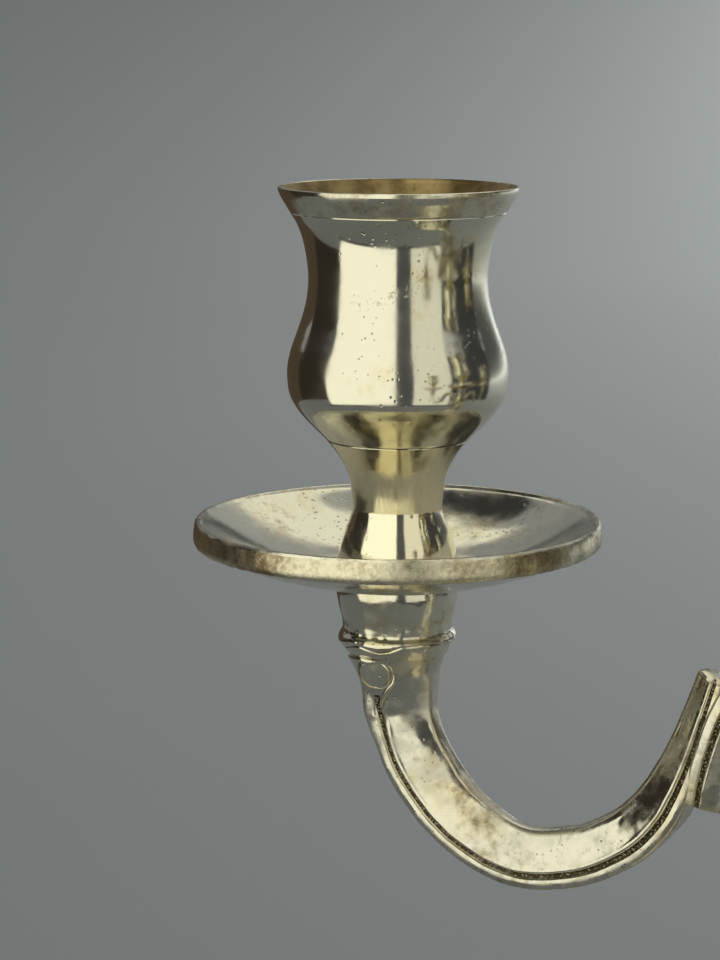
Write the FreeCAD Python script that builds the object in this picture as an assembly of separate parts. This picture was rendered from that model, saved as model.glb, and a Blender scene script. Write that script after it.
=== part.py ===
"""Tabletop candelabra: three scroll arms and a raised centre light on a turned stem and a weighted base.

Frame: +Z up, origin at the middle of the felt under the base, arm 1 towards -X, all sizes in millimetres.
Lights 1 to 3 are on the arms and light 4 stands on the stem. Every piece is its own solid in its own node.
"""

import math
import os

import FreeCAD
import Part

V = FreeCAD.Vector

# Driving dimensions
ARM_ANGLES = (180, 300, 60)  # degrees round the stem, for arms 1 to 3
ARM_REACH = 107.0  # stem axis to the axis of an arm's candle
ARM_PAN_EDGE = 165.0  # height of the top edge of an arm's drip pan
CENTRE_PAN_EDGE = 179.0  # the centre light stands higher than the arms
CANDLE_BORE_R = 11.25  # takes a 22 mm candle
STUD_R = 2.5  # threaded stud that holds pan and cup
RUNNING = 0.05  # radial clearance of a piece that turns or lifts on a stud
REST_GAP = 0.15  # between pieces that turn or lift apart
TIE_ROD_R = 3.0
HUB_FLAT = 8.0  # stem axis to each flat that an arm is screwed to

# Candle cup and pan, as (radius, height above the pan's top edge)
CUP_OUTSIDE = (
    (9.8, 11.2),
    (13.0, 14.6),
    (15.9, 18.4),
    (16.7, 21.9),
    (15.45, 27.6),
    (14.0, 31.8),
    (13.45, 36.0),
    (14.3, 42.6),
    (15.9, 46.1),
    (17.9, 49.6),
)
CUP_TOP = 50.3
LIP_OUTER_R = 17.75
BORE_FLOOR = 23.0
BORE_TOP = 43.0
CUP_MOUTH = ((17.3, CUP_TOP), (14.2, 46.8), (12.0, 44.2), (CANDLE_BORE_R, BORE_TOP))
STEM_OUTSIDE = (
    (9.1, -6.5),
    (8.9, -4.9),
    (8.4, -3.0),
    (7.2, -0.2),
    (6.65, 2.0),
    (7.0, 4.6),
    (7.9, 8.1),
    (9.8, 11.2),
)
FOOT_WASHER = 0.7  # thin washer under the stem's foot
FOOT_WASHER_R = 8.6
SPIGOT_R = 5.0  # under the cup, held in the top of its stem
SPIGOT_DEEP = 4.0
STUD_IN_CUP = 9.0  # how far the stud stands above the pan's floor
STUD_FOOT = -20.0  # lower end of the stud, in the arm's socket
PAN_R = 31.0
PAN_FLOOR = -7.5
PAN_UNDER = -9.15  # underside at the middle
PAN_INSIDE = ((11.5, PAN_FLOOR), (17.0, -6.4), (24.0, -3.6), (29.8, 0.0))
PAN_BAND = ((PAN_R - 0.4, 0.0), (PAN_R, -1.5), (PAN_R - 0.1, -2.8), (PAN_R - 0.6, -3.5))
PAN_BELOW = ((25.0, -5.7), (17.0, -8.2), (10.5, PAN_UNDER))
SEAT_TOP = PAN_UNDER - REST_GAP
SEAT_R = 9.45  # flat top of the socket that the pan stands on

# Arm socket below the pan, as (radius, height above the pan's top edge)
SOCKET_OUTSIDE = ((9.45, SEAT_TOP), (8.9, -12.4), (8.35, -15.0), (8.3, -16.4))
COLLAR_R = 9.1
COLLAR_TOP = -16.4
COLLAR_BOTTOM = -19.6
ARM_TOP = -24.0  # lower end of the socket, inside the arm
SOCKET_FOOT_R = 6.7

# Arm scrolls, as (distance in from the candle axis, height above the pan's top edge, half depth, half width)
BOWL_SCROLL = (
    (-0.2, -19.4, 8.0, 5.6),
    (0.2, -24.6, 6.6, 5.0),
    (1.6, -31.0, 5.1, 4.3),
    (5.0, -38.2, 4.9, 4.0),
    (11.4, -45.4, 4.7, 4.0),
    (20.6, -49.8, 4.4, 4.0),
    (30.2, -48.7, 4.3, 4.0),
    (37.4, -45.1, 4.2, 4.0),
    (41.5, -41.3, 4.1, 4.0),
    (44.3, -37.2, 3.8, 4.0),
    (47.0, -31.0, 3.2, 3.8),
    (49.0, -25.0, 2.7, 3.6),
    (51.0, -18.6, 2.4, 3.4),
)
ARCH_SCROLL = (
    (51.8, -38.6, 4.2, 3.8),
    (53.2, -32.0, 4.3, 4.0),
    (56.2, -23.0, 4.2, 4.0),
    (62.0, -14.4, 4.0, 3.9),
    (71.5, -9.4, 3.7, 3.7),
    (82.0, -10.0, 3.4, 3.5),
    (90.4, -16.0, 3.1, 3.3),
    (93.4, -24.6, 2.8, 3.1),
    (89.6, -32.4, 2.4, 2.9),
    (82.6, -33.6, 2.1, 2.7),
    (78.8, -28.6, 1.9, 2.5),
    (81.4, -23.8, 1.8, 2.4),
)
TAIL_SCROLL = (
    (95.4, -23.0, 2.2, 3.1),
    (96.2, -34.0, 2.4, 3.1),
    (95.2, -45.0, 2.5, 3.1),
    (91.4, -53.6, 2.4, 2.9),
    (85.4, -57.8, 2.2, 2.7),
    (79.6, -55.4, 2.0, 2.5),
    (79.4, -49.6, 1.8, 2.4),
)
SCROLL_KEEL = 0.42  # width of a scroll's inner edge, as a part of its full width
SCROLL_RIM = 2.8  # depth of the moulded outer edge
EYE_R = 2.2  # round boss where the mouldings end below the socket
EYE_AT = (-2.2, -23.8)
EYE_OUT = 5.6  # boss face, from the arm's middle plane

# Screws that hold an arm to the hub
SCREW_R = 1.75
SCREW_HEAD_R = 3.0
SCREW_HEAD = 1.6
SCREW_LONG = 10.0
SCREW_SEAT = 5.4  # thickness of the arm under a screw's head
HEAD_SEAT = HUB_FLAT + SCREW_SEAT
HEAD_ROOM = 0.2  # round a screw's head in its counterbore
HEAD_WELL = 6.0  # depth of the counterbore
PAD_WIDE = 6.4
SCREW_HEIGHTS = (-27.0, -41.0)  # above the pan's top edge
PAD_LOW = -45.0
PAD_HIGH = -21.0
FLAT_LOW = PAD_LOW - 3.0  # ends of the flats on the hub
FLAT_HIGH = PAD_HIGH + 3.0

# Base, as (radius, height) from the table
FELT = 1.5
FELT_R = 59.5
BASE_R = 62.0
BASE_TOP = 38.0
WALL = 2.0
PLATE = 2.0
FOOT_EDGE = ((62.0, 5.5), (60.0, 6.5), (58.5, 6.5))
FOOT_SLOPE = ((54.0, 9.5), (46.0, 11.4), (38.0, 12.6), (34.0, 13.2))
DOME_STEP = ((34.0, 13.2), (34.0, 15.4), (32.0, 15.4))
DOME_SLOPE = ((26.0, 18.6), (18.0, 22.6), (12.4, 28.4), (10.4, 37.0), (10.4, BASE_TOP))
WEB_UNDER = 34.0  # underside of the web at the top of the base, where the nut pulls
DOME_INSIDE = ((30.6, 12.0), (25.0, 16.2), (17.0, 20.2), (10.8, 26.6), (8.2, WEB_UNDER))
FOOT_INSIDE = ((60.0, 4.0), (53.0, 7.6), (45.0, 9.4), (37.0, 10.6))
WEIGHT_OUTSIDE = ((54.0, 7.0), (44.0, 9.0), (36.0, 10.2), (28.0, 12.0), (22.0, 14.0))
WEIGHT_BORE_R = 12.0

# Stem, from the table
LOWER_RING_R = 12.0
LOWER_RING_TOP = 43.0
BALUSTER_TOP = 97.0
BALUSTER_OUTSIDE = (
    (8.6, LOWER_RING_TOP),
    (6.6, 48.0),
    (7.0, 55.0),
    (11.0, 65.0),
    (14.6, 75.0),
    (13.4, 83.0),
    (8.2, 90.0),
    (6.8, 94.0),
    (8.0, BALUSTER_TOP),
)
UPPER_RING_R = 10.6
UPPER_RING_TOP = 102.0
HUB_R = 9.0
HUB_TOP = 158.0
NUT_LONG = 5.0
NUT_ACROSS = 10.0
WASHER = 1.5
WASHER_R = 7.0
ROD_BOTTOM = 25.0


def spline(points):
    """A smooth curve through (radius, height) points, in the XZ plane."""
    curve = Part.BSplineCurve()
    curve.interpolate([V(r, 0, z) for r, z in points])
    return curve.toShape()


def straight(*points):
    """Straight edges through (radius, height) points, in the XZ plane."""
    places = [V(r, 0, z) for r, z in points]
    return [Part.makeLine(a, b) for a, b in zip(places, places[1:])]


def turned(edges):
    """The solid that a closed outline of edges makes when it turns round the Z axis."""
    face = Part.Face(Part.Wire(Part.sortEdges(edges)[0]))
    solid = face.revolve(V(0, 0, 0), V(0, 0, 1), 360)
    return Part.Solid(solid.Shells[0]) if solid.ShapeType != "Solid" else solid


def cylinder(radius, low, high):
    """A cylinder on the Z axis between two heights."""
    return Part.makeCylinder(radius, high - low, V(0, 0, low))


def ring(outer, inner, low, high):
    """A plain ring on the Z axis."""
    return cylinder(outer, low, high).cut(cylinder(inner, low, high))


def round_ring(outer, inner, low, high):
    """A ring on the Z axis whose outside is half round."""
    middle, half = (low + high) / 2, (high - low) / 2
    flat = outer - half
    arc = Part.Arc(V(flat, 0, low), V(outer, 0, middle), V(flat, 0, high))
    return turned([arc.toShape(), *straight((flat, high), (inner, high), (inner, low), (flat, low))])


def smooth_line(points, steps):
    """Points along a Catmull-Rom curve through points of any number of values."""
    points = [points[0], *points, points[-1]]
    line = []
    for four in zip(points, points[1:], points[2:], points[3:]):
        for k in range(steps):
            t = k / steps
            line.append(tuple(between(*values, t) for values in zip(*four)))
    line.append(tuple(points[-1]))
    return line


def between(a, b, c, d, t):
    """The value a share t of the way from b to c, on a curve that also heeds a and d."""
    return 0.5 * (2 * b + (c - a) * t + (2 * a - 5 * b + 4 * c - d) * t**2 + (3 * b - a - 3 * c + d) * t**3)


def in_arm(inward, height):
    """A point in the plane of an arm that runs along +X, as (x, z)."""
    return ARM_REACH - inward, ARM_PAN_EDGE + height


def scroll(points, outer_side):
    """A solid scroll along a line in the arm's plane, thick at its outer edge and thin at its inner one."""
    line = smooth_line(points, 2)
    places = [in_arm(s, h) for s, h, _, _ in line]
    sections = []
    for i, (x, z) in enumerate(places):
        before, after = places[max(i - 1, 0)], places[min(i + 1, len(places) - 1)]
        dx, dz = after[0] - before[0], after[1] - before[1]
        long = math.hypot(dx, dz)
        nx, nz = -dz / long * outer_side, dx / long * outer_side
        depth, width = line[i][2:]
        rim = depth - SCROLL_RIM
        keel = width * SCROLL_KEEL
        side = ((depth, width), (rim, width), (-depth, keel))
        outline = [*side, *((out, -y) for out, y in reversed(side))]
        corners = [V(x + nx * out, y, z + nz * out) for out, y in outline]
        sections.append(Part.makePolygon([*corners, corners[0]]))
    return Part.makeLoft(sections, True, False)


def lifted(shape, height):
    """shape moved up by height."""
    shape.translate(V(0, 0, height))
    return shape


def placed(shape, light):
    """A piece of a light, modelled on the Z axis with the pan's edge at 0, moved to that light."""
    moved = shape.copy()
    if light == 4:
        return lifted(moved, CENTRE_PAN_EDGE)
    moved.translate(V(ARM_REACH, 0, ARM_PAN_EDGE))
    moved.rotate(V(0, 0, 0), V(0, 0, 1), ARM_ANGLES[light - 1])
    return moved


def candle_cup():
    """Urn-shaped cup with a flared lip, a straight bore for the candle and a spigot below."""
    low_r, low_z = CUP_OUTSIDE[0]
    outline = [
        spline(CUP_OUTSIDE),
        *straight(CUP_OUTSIDE[-1], (LIP_OUTER_R, CUP_TOP), CUP_MOUTH[0]),
        spline(CUP_MOUTH),
        *straight((CANDLE_BORE_R, BORE_TOP), (CANDLE_BORE_R, BORE_FLOOR), (0, BORE_FLOOR)),
        *straight((0, BORE_FLOOR), (0, low_z - SPIGOT_DEEP), (SPIGOT_R, low_z - SPIGOT_DEEP)),
        *straight((SPIGOT_R, low_z - SPIGOT_DEEP), (SPIGOT_R, low_z), (low_r, low_z)),
    ]
    return turned(outline)


def cup_stem():
    """Waisted stem of the cup, bored for the stud from below and for the cup's spigot from above."""
    foot_r, foot_z = STEM_OUTSIDE[0]
    top_r, top_z = STEM_OUTSIDE[-1]
    hole = STUD_R + RUNNING
    socket_floor = top_z - SPIGOT_DEEP
    outline = [
        spline(STEM_OUTSIDE),
        *straight((top_r, top_z), (SPIGOT_R, top_z), (SPIGOT_R, socket_floor), (hole, socket_floor)),
        *straight((hole, socket_floor), (hole, foot_z), (foot_r, foot_z)),
    ]
    return turned(outline)


def foot_washer():
    """Thin washer that stays under the foot of a cup's stem."""
    low = PAN_FLOOR + REST_GAP
    return ring(FOOT_WASHER_R, STUD_R + RUNNING, low, low + FOOT_WASHER)


def drip_pan():
    """Shallow dish with a thick band round its rim and a hole for the stud."""
    hole = STUD_R + RUNNING
    outline = [
        *straight((hole, PAN_FLOOR), PAN_INSIDE[0]),
        spline(PAN_INSIDE),
        *straight(PAN_INSIDE[-1], PAN_BAND[0]),
        spline(PAN_BAND),
        spline((PAN_BAND[-1], *PAN_BELOW)),
        *straight(PAN_BELOW[-1], (hole, PAN_UNDER), (hole, PAN_FLOOR)),
    ]
    return turned(outline)


def socket(bottom):
    """Flared seat under a pan, with a collar, down to the height bottom."""
    low_r = SOCKET_OUTSIDE[-1][0]
    middle = (COLLAR_TOP + COLLAR_BOTTOM) / 2
    collar = Part.Arc(V(low_r, 0, COLLAR_TOP), V(COLLAR_R, 0, middle), V(low_r, 0, COLLAR_BOTTOM))
    outline = [
        spline(SOCKET_OUTSIDE),
        collar.toShape(),
        *straight((low_r, COLLAR_BOTTOM), (SOCKET_FOOT_R, bottom), (0, bottom)),
        *straight((0, bottom), (0, SEAT_TOP), (SEAT_R, SEAT_TOP)),
    ]
    return turned(outline)


def along_arm(radius, start, end, height):
    """A cylinder along an arm, between two distances from the stem, at a height above the pan's edge."""
    return Part.makeCylinder(radius, end - start, V(start, 0, ARM_PAN_EDGE + height), V(1, 0, 0))


def arm():
    """One arm casting: socket, bowl, arch and tail scrolls, eye bosses and fixing pad."""
    body = at_arm_end(socket(ARM_TOP))
    pad = Part.makeBox(SCREW_SEAT, PAD_WIDE, PAD_HIGH - PAD_LOW)
    pad.translate(V(HUB_FLAT, -PAD_WIDE / 2, ARM_PAN_EDGE + PAD_LOW))
    x, z = in_arm(*EYE_AT)
    eyes = Part.makeCylinder(EYE_R, 2 * EYE_OUT, V(x, -EYE_OUT, z), V(0, 1, 0))
    scrolls = [scroll(BOWL_SCROLL, 1), scroll(ARCH_SCROLL, -1), scroll(TAIL_SCROLL, 1)]
    body = body.multiFuse([*scrolls, pad, eyes])
    cuts = [at_arm_end(cylinder(STUD_R, STUD_FOOT, SEAT_TOP)), stem_side()]
    for height in SCREW_HEIGHTS:
        cuts.append(along_arm(SCREW_R, 0, HEAD_SEAT, height))
        cuts.append(along_arm(SCREW_HEAD_R + HEAD_ROOM, HEAD_SEAT, HEAD_SEAT + HEAD_WELL, height))
    return body.cut(cuts).removeSplitter()


def stem_side():
    """Everything on the stem's side of the flat that an arm is screwed to."""
    size = 2 * ARM_REACH
    return Part.makeBox(size, size, size, V(HUB_FLAT - size, -size / 2, ARM_PAN_EDGE - size / 2))


def at_arm_end(shape):
    """A piece modelled on the Z axis with the pan's edge at 0, moved to the end of an arm along +X."""
    shape.translate(V(ARM_REACH, 0, ARM_PAN_EDGE))
    return shape


def arm_screws():
    """The two round-headed screws of one arm, as separate solids."""
    solids = []
    for height in SCREW_HEIGHTS:
        shank = along_arm(SCREW_R, HEAD_SEAT - SCREW_LONG, HEAD_SEAT, height)
        head = along_arm(SCREW_HEAD_R, HEAD_SEAT, HEAD_SEAT + SCREW_HEAD, height)
        solids.append(shank.fuse(head).removeSplitter())
    return Part.makeCompound(solids)


def cup_stud():
    """Threaded stud from the arm's socket up into the cup's stem."""
    return cylinder(STUD_R, STUD_FOOT, PAN_FLOOR + STUD_IN_CUP)


def base_shell():
    """Stepped and domed foot with an even wall, closed at the top by a web for the rod."""
    edges = [
        *straight((BASE_R, FELT), *FOOT_EDGE),
        spline((FOOT_EDGE[-1], *FOOT_SLOPE)),
        *straight(*DOME_STEP),
        spline((DOME_STEP[-1], *DOME_SLOPE)),
        *straight(DOME_SLOPE[-1], (TIE_ROD_R, BASE_TOP), (TIE_ROD_R, WEB_UNDER), DOME_INSIDE[-1]),
        spline(DOME_INSIDE),
        spline((*FOOT_INSIDE, DOME_INSIDE[0])),
        *straight(FOOT_INSIDE[0], (BASE_R - WALL, FELT), (BASE_R, FELT)),
    ]
    return turned(edges)


def base_weight():
    """Iron ring that steadies the base."""
    low = FELT + PLATE
    outer, inner = WEIGHT_OUTSIDE[0][0], WEIGHT_BORE_R
    top = WEIGHT_OUTSIDE[-1][1]
    return turned(straight((outer, low), *WEIGHT_OUTSIDE, (inner, top), (inner, low), (outer, low)))


def hexagon_nut():
    """Nut on the lower end of the tie rod, under the web at the top of the base."""
    high = WEB_UNDER - WASHER
    low = high - NUT_LONG
    corner = NUT_ACROSS / math.sqrt(3)
    corners = [V(corner, 0, low)]
    for _ in range(6):
        corners.append(FreeCAD.Rotation(V(0, 0, 1), 60).multVec(corners[-1]))
    prism = Part.Face(Part.makePolygon(corners)).extrude(V(0, 0, NUT_LONG))
    return prism.cut(cylinder(TIE_ROD_R, low, high))


def baluster():
    """Turned vase of the stem."""
    low_r, low = BALUSTER_OUTSIDE[0]
    top_r, high = BALUSTER_OUTSIDE[-1]
    bore = straight((top_r, high), (TIE_ROD_R, high), (TIE_ROD_R, low), (low_r, low))
    return turned([spline(BALUSTER_OUTSIDE), *bore])


def hub():
    """Column with three flats for the arms, bored for the rod and drilled for the screws."""
    column = ring(HUB_R, TIE_ROD_R, UPPER_RING_TOP, HUB_TOP)
    for angle in ARM_ANGLES:
        flat = stem_side()
        flat.rotate(V(0, 0, ARM_PAN_EDGE), V(0, 0, 1), 180)
        flat.translate(V(2 * HUB_FLAT, 0, 0))
        flat = flat.common(cylinder(2 * HUB_R, ARM_PAN_EDGE + FLAT_LOW, ARM_PAN_EDGE + FLAT_HIGH))
        holes = [along_arm(SCREW_R, HEAD_SEAT - SCREW_LONG, HEAD_SEAT, height) for height in SCREW_HEIGHTS]
        for tool in (flat, *holes):
            tool.rotate(V(0, 0, 0), V(0, 0, 1), angle)
            column = column.cut(tool)
    return column


def centre_socket():
    """Flared seat of the centre light, on top of the hub."""
    seat = lifted(socket(HUB_TOP - CENTRE_PAN_EDGE), CENTRE_PAN_EDGE)
    return seat.cut(cylinder(TIE_ROD_R, HUB_TOP, CENTRE_PAN_EDGE))


def tie_rod():
    """Rod from the nut in the base to the cup of the centre light, thinner where the cup screws on."""
    shoulder = CENTRE_PAN_EDGE + SEAT_TOP
    stud = cylinder(STUD_R, shoulder, CENTRE_PAN_EDGE + PAN_FLOOR + STUD_IN_CUP)
    return cylinder(TIE_ROD_R, ROD_BOTTOM, shoulder).fuse(stud).removeSplitter()


def pieces():
    """Every node of the candelabra and its shape."""
    made = {
        "felt_pad": cylinder(FELT_R, 0, FELT),
        "base_plate": cylinder(BASE_R - WALL, FELT, FELT + PLATE),
        "base_weight": base_weight(),
        "base_shell": base_shell(),
        "rod_washer": ring(WASHER_R, TIE_ROD_R, WEB_UNDER - WASHER, WEB_UNDER),
        "rod_nut": hexagon_nut(),
        "tie_rod": tie_rod(),
        "stem_ring_lower": round_ring(LOWER_RING_R, TIE_ROD_R, BASE_TOP, LOWER_RING_TOP),
        "stem_baluster": baluster(),
        "stem_ring_upper": round_ring(UPPER_RING_R, TIE_ROD_R, BALUSTER_TOP, UPPER_RING_TOP),
        "hub": hub(),
        "centre_socket": centre_socket(),
    }
    for number, angle in enumerate(ARM_ANGLES, 1):
        for name, shape in (("arm", arm()), ("arm_screws", arm_screws())):
            shape.rotate(V(0, 0, 0), V(0, 0, 1), angle)
            made[f"{name}_{number}"] = shape
        made[f"cup_stud_{number}"] = placed(cup_stud(), number)
    for light in range(1, 5):
        made[f"drip_pan_{light}"] = placed(drip_pan(), light)
        made[f"foot_washer_{light}"] = placed(foot_washer(), light)
        made[f"cup_stem_{light}"] = placed(cup_stem(), light)
        made[f"candle_cup_{light}"] = placed(candle_cup(), light)
    return made


def main():
    """Writes each node to parts/NODE.step."""
    os.makedirs("parts", exist_ok=True)
    for name, shape in pieces().items():
        whole = shape.Solids[0] if len(shape.Solids) == 1 else shape
        whole.exportStep(f"parts/{name}.step")


main()
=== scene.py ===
"""Looks of a silver-plated tabletop candelabra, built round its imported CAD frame. Shapes are in mm."""

import math

import bmesh
import bpy
import numpy as np
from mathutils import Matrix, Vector, noise


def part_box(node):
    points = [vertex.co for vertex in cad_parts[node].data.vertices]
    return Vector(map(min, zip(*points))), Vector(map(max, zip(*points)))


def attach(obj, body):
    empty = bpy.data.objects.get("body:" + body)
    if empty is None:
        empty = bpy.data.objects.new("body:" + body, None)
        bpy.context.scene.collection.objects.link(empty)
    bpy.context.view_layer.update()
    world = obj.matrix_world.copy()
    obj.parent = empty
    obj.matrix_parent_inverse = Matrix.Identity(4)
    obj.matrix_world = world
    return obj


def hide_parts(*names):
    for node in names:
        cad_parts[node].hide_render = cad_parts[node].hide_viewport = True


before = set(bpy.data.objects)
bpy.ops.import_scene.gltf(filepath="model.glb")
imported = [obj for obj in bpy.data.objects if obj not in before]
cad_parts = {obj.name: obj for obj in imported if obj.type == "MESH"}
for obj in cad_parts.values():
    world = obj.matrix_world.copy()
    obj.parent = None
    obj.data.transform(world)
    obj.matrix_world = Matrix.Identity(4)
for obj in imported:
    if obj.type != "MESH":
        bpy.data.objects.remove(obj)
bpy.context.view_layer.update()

MM = 0.001
LIGHTS = (1, 2, 3, 4)
ARMS = (1, 2, 3)
ROUND = 192  # columns round a turned piece
FINE_ROUND = 256  # columns round a pan and round the base

# Camera, from the first candle cup's axis and the top edge of its pan
CAMERA_AZIMUTH = 26.0
CAMERA_PITCH = -10.195
CAMERA_BACK = 393.6
CAMERA_RIGHT = -5.7
CAMERA_UP = 76.7
LENS = 99.0
SENSOR_WIDTH = 36
TURN = math.radians(CAMERA_AZIMUTH)
AHEAD = Vector((-math.sin(TURN), math.cos(TURN), 0))
RIGHT = Vector((math.cos(TURN), math.sin(TURN), 0))
UP = Vector((0, 0, 1))

# Turned outlines, as (radius, height above the pan's top edge)
STUD_BORE = 2.55
STEM_FOOT = -6.5
STEM_TOP = 12.45
STEM_OUTSIDE = (
    (9.1, -6.3), (9.0, -5.2), (8.6, -3.5), (8.0, -1.6), (7.4, -0.2), (6.85, 1.4), (6.8, 2.4),
    (7.0, 4.2), (7.3, 6.2), (7.9, 8.1), (8.7, 9.5), (9.6, 10.8), (10.5, 11.9), (10.85, 12.3),
)
CUP_BASE = ((0.0, 12.5), (10.9, 12.5))
CUP_OUTSIDE = (
    (11.05, 12.55), (11.9, 13.4), (12.9, 14.4), (14.2, 15.8), (15.4, 17.4), (16.3, 19.2), (16.65, 21.4),
    (16.6, 23.6), (16.1, 25.9), (15.3, 28.2), (14.4, 30.8), (13.75, 33.4), (13.45, 36.4),
    (13.65, 39.2), (14.2, 42.2), (15.0, 44.5), (15.75, 45.85), (16.1, 46.4),
)
CUP_LINE = (16.06, 46.5)  # a fine turned line under the flare
CUP_FLARE = ((16.25, 46.65), (16.75, 47.5), (17.5, 48.75), (17.85, 49.6))
CUP_LIP = ((17.95, 49.95), (17.9, 50.2), (17.7, 50.3), (17.5, 50.2))
CUP_MOUTH = ((17.3, 49.8), (15.7, 47.8), (13.9, 45.6), (12.2, 43.9), (11.4, 42.9))
CUP_BORE = ((11.3, 42.8), (11.27, 23.4))
CUP_CORNER = ((11.27, 23.4), (10.9, 23.05), (10.4, 23.0))
CUP_FLOOR = ((10.4, 23.0), (0.0, 23.0))
PAN_BOTTOM = -9.15
PAN_SEAT = -7.5
PAN_INSIDE = ((11.6, PAN_SEAT), (14.5, -7.1), (19.0, -5.7), (24.0, -3.5), (28.4, -1.0), (29.7, -0.35))
PAN_EDGE = ((29.9, -0.12), (30.2, 0.0), (30.55, -0.05), (30.8, -0.4))
PAN_BAND = ((30.9, -0.9), (31.0, -1.8), (30.98, -2.7), (30.85, -3.3))
PAN_FOLD = ((30.6, -3.6), (30.25, -3.7), (29.6, -3.8))
PAN_UNDER = ((29.2, -3.9), (25.0, -5.65), (20.0, -7.3), (15.0, -8.65), (10.5, PAN_BOTTOM))
SEAT_TOP = -9.3
SEAT = ((9.3, SEAT_TOP), (9.4, -9.35), (9.45, -9.5))
SOCKET = ((9.45, -9.5), (9.35, -11.0), (8.95, -13.2), (8.5, -15.2), (8.3, -16.6))
NECK = (SOCKET[-1], (8.28, -16.8), (8.45, -17.1))
COLLAR = ((8.45, -17.1), (8.85, -17.8), (9.05, -18.6), (8.8, -19.3), (8.35, -19.8))


def clamp(x):
    """x, kept between 0 and 1."""
    return max(0.0, min(1.0, x))


def smooth_step(x, start, end):
    """0 before start, 1 after end, smooth between."""
    t = clamp((x - start) / (end - start))
    return t * t * (3 - 2 * t)


def curve(points, step=0.35):
    """Points about step apart on a Catmull-Rom curve through points of any number of values."""
    p = np.array([points[0], *points, points[-1]], float)
    p[0], p[-1] = 2 * p[1] - p[2], 2 * p[-2] - p[-3]
    line = []
    for a, b, c, d in zip(p, p[1:], p[2:], p[3:]):
        count = max(1, round(float(np.linalg.norm((c - b)[:2])) / step))
        for k in range(count):
            t = k / count
            square, cube = 2 * a - 5 * b + 4 * c - d, 3 * b - a - 3 * c + d
            line.append(0.5 * (2 * b + (c - a) * t + square * t**2 + cube * t**3))
    return [*line, p[-2]]


def mesh_object(name, verts, faces, materials, face_material=None, sharp=38):
    """A mesh object from points in metres, smooth except where faces meet at more than sharp degrees."""
    mesh = bpy.data.meshes.new(name)
    mesh.from_pydata([tuple(v) for v in verts], [], [tuple(f) for f in faces])
    for material in materials:
        mesh.materials.append(material)
    if face_material is not None:
        mesh.polygons.foreach_set("material_index", face_material)
    mesh.polygons.foreach_set("use_smooth", [True] * len(faces))
    b = bmesh.new()
    b.from_mesh(mesh)
    bmesh.ops.remove_doubles(b, verts=b.verts, dist=1e-7)
    bmesh.ops.recalc_face_normals(b, faces=b.faces)
    b.to_mesh(mesh)
    b.free()
    mesh.set_sharp_from_angle(angle=math.radians(sharp))
    piece = bpy.data.objects.new(name, mesh)
    bpy.context.scene.collection.objects.link(piece)
    return piece


def grid(rows, columns):
    """Quads over a grid of rows and columns of points, joined round the columns."""
    faces = []
    for r in range(rows - 1):
        low, high = r * columns, (r + 1) * columns
        for c in range(columns):
            after = (c + 1) % columns
            faces.append((low + c, low + after, high + after, high + c))
    return faces


def turned(name, runs, centre, height, shape=None, columns=ROUND):
    """A piece turned round a vertical axis.

    runs are (points, material), and shape takes a point's (r, angle, z) to a new (r, z).
    """
    points, finish = [], []
    materials = []
    for run, material in runs:
        if material not in materials:
            materials.append(material)
        line = curve(run) if len(run) > 2 else [np.array(p, float) for p in run]
        points += line
        finish += [materials.index(material)] * len(line)
    verts = []
    for r, z in points:
        for c in range(columns):
            a = 2 * math.pi * c / columns
            rr, zz = (r, z) if shape is None else shape(r, a, z)
            x, y = centre.x + rr * MM * math.cos(a), centre.y + rr * MM * math.sin(a)
            verts.append((x, y, height + zz * MM))
    faces = grid(len(points), columns)
    face_material = [finish[min(i // columns + 1, len(finish) - 1)] for i in range(len(faces))]
    return mesh_object(name, verts, faces, materials, face_material)


def closed(*runs):
    """runs with a straight run added from the last point back to the first."""
    return [*runs, ((runs[-1][0][-1], runs[0][0][0]), runs[-1][1])]


# Materials


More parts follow.
